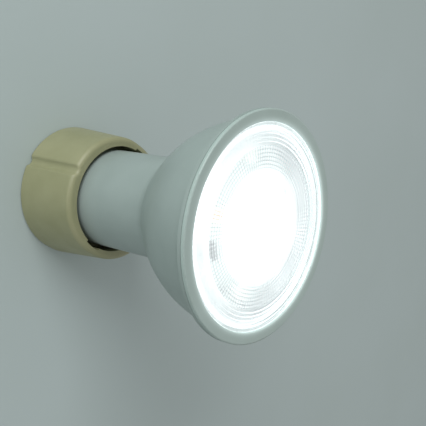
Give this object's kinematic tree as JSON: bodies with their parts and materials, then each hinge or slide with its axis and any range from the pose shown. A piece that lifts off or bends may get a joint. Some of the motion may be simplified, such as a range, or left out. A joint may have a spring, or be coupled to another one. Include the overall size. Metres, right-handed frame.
{
  "type": "twist-lock spot bulb in a lampholder",
  "caption": "Smart spot bulb with a clear ringed lens and a bowl-shaped white shell, locked by its twist-lock pins in a cream lampholder.",
  "frame": {"origin": "centre of the flat back of the holder", "axes": "+Z along the axis from the holder to the lens, +X along the line of the two pins"},
  "size_m": [0.05, 0.05, 0.0616],
  "materials": {
    "cream_moulding": "satin moulded thermoset",
    "white_shell": "satin moulded polycarbonate",
    "clear_lens": "clear moulded polycarbonate",
    "zinc_plated_steel": "zinc plated",
    "contact_brass": "rolled strip",
    "plated_pin": "nickel plated",
    "pressed_aluminium": "pressed, bare",
    "silicone_pad": "matt",
    "white_board": "white solder mask on an aluminium core",
    "lit_led": "phosphor window, lit",
    "amber_led": "phosphor window, off",
    "black_board": "black solder mask",
    "tinned_can": "tinned",
    "green_board": "green solder mask",
    "black_sleeve": "shrunk sleeve",
    "red_epoxy": "dipped",
    "ferrite": "sintered",
    "yellow_tape": "wound tape",
    "black_epoxy": "moulded",
    "grey_enamel": "enamelled",
    "white_silicone": "insulated wire"
  },
  "bodies": {
    "holder": {"holder_body": "cream_moulding", "holder_cover": "cream_moulding", "cover_screws": "zinc_plated_steel", "left_contact": "contact_brass", "right_contact": "contact_brass", "contact_rivets": "zinc_plated_steel"},
    "bulb": {"housing": "white_shell", "front_bezel": "white_shell", "lens": "clear_lens", "left_pin": "plated_pin", "right_pin": "plated_pin", "heat_sink_cup": "pressed_aluminium", "thermal_pad": "silicone_pad", "led_board": "white_board", "cool_white_leds": "lit_led", "warm_white_leds": "amber_led", "led_board_screws": "zinc_plated_steel", "radio_board": "black_board", "radio_shield": "tinned_can", "driver_board": "green_board", "input_capacitor": "black_sleeve", "output_capacitor": "black_sleeve", "film_capacitor": "red_epoxy", "transformer_core": "ferrite", "transformer_coil": "yellow_tape", "bridge_rectifier": "black_epoxy", "driver_chip": "black_epoxy", "fuse_resistor": "grey_enamel", "header_block": "black_epoxy", "header_pins": "plated_pin", "left_lead": "white_silicone", "right_lead": "white_silicone"}
  },
  "joints": [
    {"name": "bulb_twist", "type": "hinge", "parent": "holder", "child": "bulb", "pos_m": [0, 0, 0.01], "axis": [0, 0, 1], "range_deg": [0, 35]}
  ]
}
